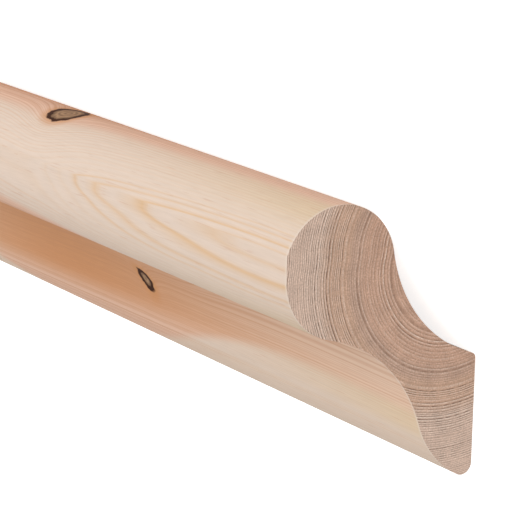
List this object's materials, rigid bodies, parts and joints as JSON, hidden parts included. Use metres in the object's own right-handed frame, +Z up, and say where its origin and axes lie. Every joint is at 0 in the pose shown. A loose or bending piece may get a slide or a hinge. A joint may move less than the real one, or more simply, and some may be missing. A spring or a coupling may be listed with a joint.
{
  "type": "pigs ear handrail",
  "caption": "Length of softwood pigs ear handrail: rounded grip over a finger cove, swept toe and flat wall face, with a thumb cove behind.",
  "frame": {"origin": "middle of the footprint on the floor, with the rail lying on its back: the round and the top corner of the wall face touch the floor", "axes": "+X along the rail, +Y from the round to the lip, +Z up from the floor"},
  "size_m": [2.4, 0.0816, 0.0303],
  "materials": {
    "timber": "planed, unfinished softwood"
  },
  "bodies": {
    "root": {"handrail": "timber"}
  },
  "joints": []
}
